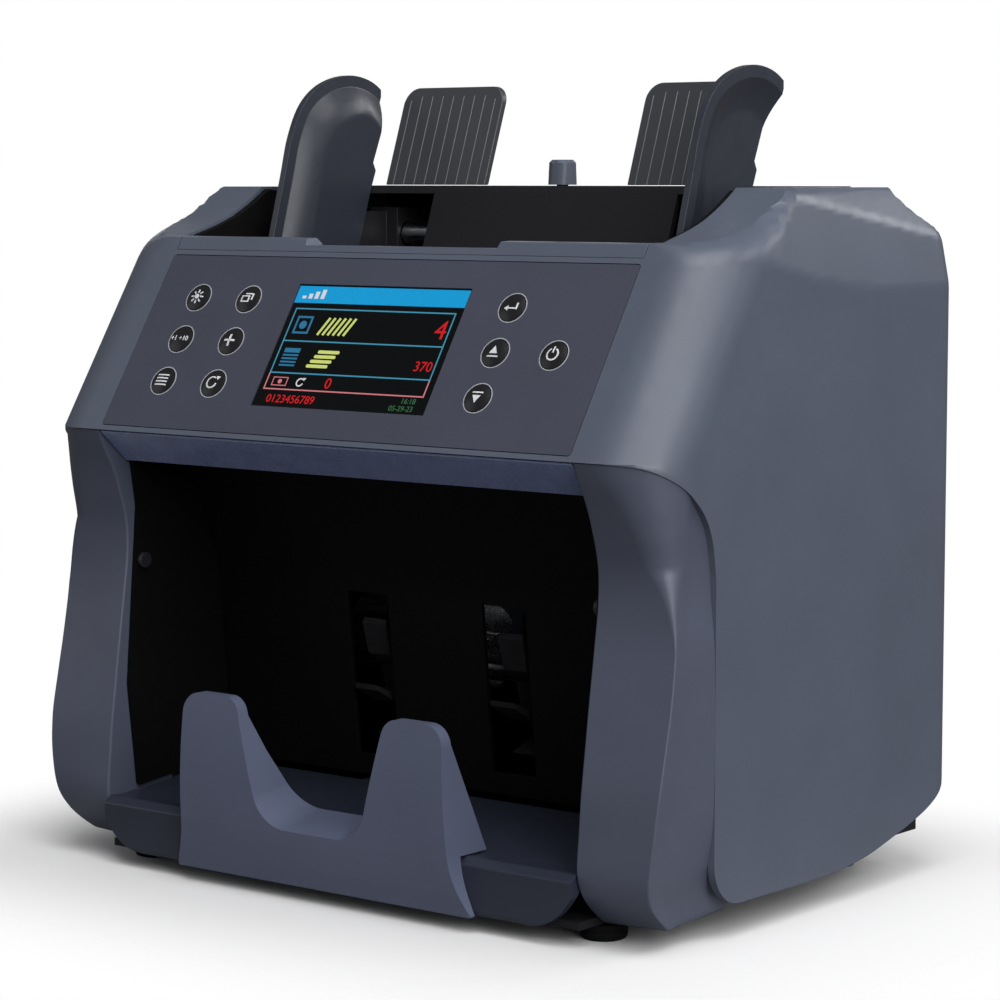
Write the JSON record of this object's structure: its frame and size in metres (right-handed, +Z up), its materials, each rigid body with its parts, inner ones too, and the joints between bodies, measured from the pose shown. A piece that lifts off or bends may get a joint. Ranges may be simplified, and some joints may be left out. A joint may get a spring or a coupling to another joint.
{
  "type": "banknote counting machine",
  "caption": "Desktop banknote counter with a top hopper, sliding guides, sloping key panel, open front stacker, finger guard and rear cover.",
  "frame": {"origin": "on the table under the middle of the machine's bounding box", "axes": "+X to the machine's right, +Y from the key panel to the back, +Z up"},
  "size_m": [0.255, 0.1828, 0.2659],
  "materials": {
    "casing_plastic": "fine satin",
    "panel_plastic": "satin",
    "guard_plastic": "satin",
    "black_plastic": "fine texture",
    "key_plastic": "polished",
    "screen_glass": "clear lens over a colour display",
    "smoked_plastic": "polished smoked",
    "foot_rubber": "moulded",
    "roller_rubber": "ground",
    "shaft_steel": "turned",
    "frame_steel": "black coated sheet",
    "circuit_board": "solder mask"
  },
  "bodies": {
    "root": {"base_pan": "casing_plastic", "foot_front_left": "foot_rubber", "foot_front_right": "foot_rubber", "foot_rear_left": "foot_rubber", "foot_rear_right": "foot_rubber", "outer_case": "casing_plastic", "control_panel": "panel_plastic", "screen_window": "screen_glass", "control_board": "circuit_board", "cheek_left": "casing_plastic", "cheek_right": "casing_plastic", "stacker_tray": "casing_plastic", "finger_guard": "guard_plastic", "stacker_back_plate": "black_plastic", "visor_strip": "smoked_plastic", "side_frame_left": "frame_steel", "side_frame_right": "frame_steel", "stacker_sensor_left": "smoked_plastic", "stacker_sensor_right": "smoked_plastic", "hopper_tray": "black_plastic", "hopper_lip": "casing_plastic", "guide_rail": "shaft_steel", "back_plate_left": "panel_plastic", "back_plate_right": "panel_plastic", "deck_cover": "black_plastic", "separator_pad": "foot_rubber", "power_inlet": "black_plastic", "motor": "shaft_steel", "drive_belt": "foot_rubber", "main_board": "circuit_board", "power_supply": "frame_steel", "rear_hinge_pin": "shaft_steel"},
    "guide_left": {"hopper_guide_left": "panel_plastic"},
    "guide_right": {"hopper_guide_right": "panel_plastic"},
    "pinion": {"guide_pinion": "black_plastic"},
    "rear_door": {"rear_cover": "casing_plastic", "sensor_bar": "black_plastic"},
    "latch": {"rear_cover_latch": "black_plastic"},
    "switch": {"power_switch": "key_plastic"},
    "knob": {"gap_adjust_knob": "casing_plastic"},
    "pickup": {"pickup_shaft": "shaft_steel", "pickup_roller_left": "roller_rubber", "pickup_roller_right": "roller_rubber"},
    "feed": {"feed_shaft": "shaft_steel", "feed_roller_left": "roller_rubber", "feed_roller_right": "roller_rubber"},
    "stacker": {"stacker_shaft": "shaft_steel", "stacker_wheel_left": "roller_rubber", "stacker_wheel_right": "roller_rubber"},
    "motor_rotor": {"motor_pulley": "shaft_steel"},
    "key_1_body": {"key_1": "key_plastic"},
    "key_2_body": {"key_2": "key_plastic"},
    "key_3_body": {"key_3": "key_plastic"},
    "key_4_body": {"key_4": "key_plastic"},
    "key_5_body": {"key_5": "key_plastic"},
    "key_6_body": {"key_6": "key_plastic"},
    "key_7_body": {"key_7": "key_plastic"},
    "key_8_body": {"key_8": "key_plastic"},
    "key_9_body": {"key_9": "key_plastic"},
    "key_10_body": {"key_10": "key_plastic"}
  },
  "joints": [
    {"name": "key_1_press", "type": "slide", "parent": "root", "child": "key_1_body", "axis": [0, 0.8425, -0.5388], "range_m": [0, 0.001], "stiffness_N_per_m": 600},
    {"name": "key_2_press", "type": "slide", "parent": "root", "child": "key_2_body", "axis": [0, 0.8425, -0.5388], "range_m": [0, 0.001], "stiffness_N_per_m": 600},
    {"name": "key_3_press", "type": "slide", "parent": "root", "child": "key_3_body", "axis": [0, 0.8425, -0.5388], "range_m": [0, 0.001], "stiffness_N_per_m": 600},
    {"name": "key_4_press", "type": "slide", "parent": "root", "child": "key_4_body", "axis": [0, 0.8425, -0.5388], "range_m": [0, 0.001], "stiffness_N_per_m": 600},
    {"name": "key_5_press", "type": "slide", "parent": "root", "child": "key_5_body", "axis": [0, 0.8425, -0.5388], "range_m": [0, 0.001], "stiffness_N_per_m": 600},
    {"name": "key_6_press", "type": "slide", "parent": "root", "child": "key_6_body", "axis": [0, 0.8425, -0.5388], "range_m": [0, 0.001], "stiffness_N_per_m": 600},
    {"name": "key_7_press", "type": "slide", "parent": "root", "child": "key_7_body", "axis": [0, 0.8425, -0.5388], "range_m": [0, 0.001], "stiffness_N_per_m": 600},
    {"name": "key_8_press", "type": "slide", "parent": "root", "child": "key_8_body", "axis": [0, 0.8425, -0.5388], "range_m": [0, 0.001], "stiffness_N_per_m": 600},
    {"name": "key_9_press", "type": "slide", "parent": "root", "child": "key_9_body", "axis": [0, 0.8425, -0.5388], "range_m": [0, 0.001], "stiffness_N_per_m": 600},
    {"name": "key_10_press", "type": "slide", "parent": "root", "child": "key_10_body", "axis": [0, 0.8425, -0.5388], "range_m": [0, 0.001], "stiffness_N_per_m": 600},
    {"name": "guide_right_slide", "type": "slide", "parent": "root", "child": "guide_right", "axis": [1, 0, 0], "range_m": [-0.024, 0.008]},
    {"name": "guide_left_slide", "type": "slide", "parent": "root", "child": "guide_left", "axis": [1, 0, 0], "range_m": [-0.008, 0.024]},
    {"name": "pinion_turn", "type": "hinge", "parent": "root", "child": "pinion", "pos_m": [0, 0.0567, 0.21], "axis": [0, 1, 0], "range_deg": [-232, 80]},
    {"name": "rear_cover_hinge", "type": "hinge", "parent": "root", "child": "rear_door", "pos_m": [0, 0.0872, 0.043], "axis": [-1, 0, 0], "range_deg": [0, 80]},
    {"name": "latch_slide", "type": "slide", "parent": "rear_door", "child": "latch", "axis": [0, 0, -1], "range_m": [0, 0.004], "stiffness_N_per_m": 300},
    {"name": "power_switch_rock", "type": "hinge", "parent": "root", "child": "switch", "pos_m": [0.038, 0.0797, 0.024], "axis": [-1, 0, 0], "range_deg": [0, 12]},
    {"name": "gap_knob_turn", "type": "hinge", "parent": "root", "child": "knob", "pos_m": [0, 0.0413, 0.23], "axis": [0, 0, 1], "range_deg": [-150, 150]},
    {"name": "stacker_spin", "type": "hinge", "parent": "root", "child": "stacker", "pos_m": [0, -0.0003, 0.066], "axis": [1, 0, 0], "continuous": true},
    {"name": "feed_spin", "type": "hinge", "parent": "root", "child": "feed", "pos_m": [0, 0.0327, 0.1645], "axis": [1, 0, 0], "continuous": true},
    {"name": "pickup_spin", "type": "hinge", "parent": "root", "child": "pickup", "pos_m": [0, 0.0037, 0.1789], "axis": [1, 0, 0], "continuous": true},
    {"name": "motor_spin", "type": "hinge", "parent": "root", "child": "motor_rotor", "pos_m": [0, 0.0537, 0.062], "axis": [1, 0, 0], "continuous": true}
  ],
  "couplings": [
    {"joint": "guide_left_slide", "follows": "guide_right_slide", "ratio": -1},
    {"joint": "pinion_turn", "follows": "guide_right_slide", "rad_per_m": 166.67},
    {"joint": "feed_spin", "follows": "stacker_spin", "ratio": 2},
    {"joint": "pickup_spin", "follows": "stacker_spin", "ratio": 2},
    {"joint": "motor_spin", "follows": "stacker_spin", "ratio": 3}
  ]
}
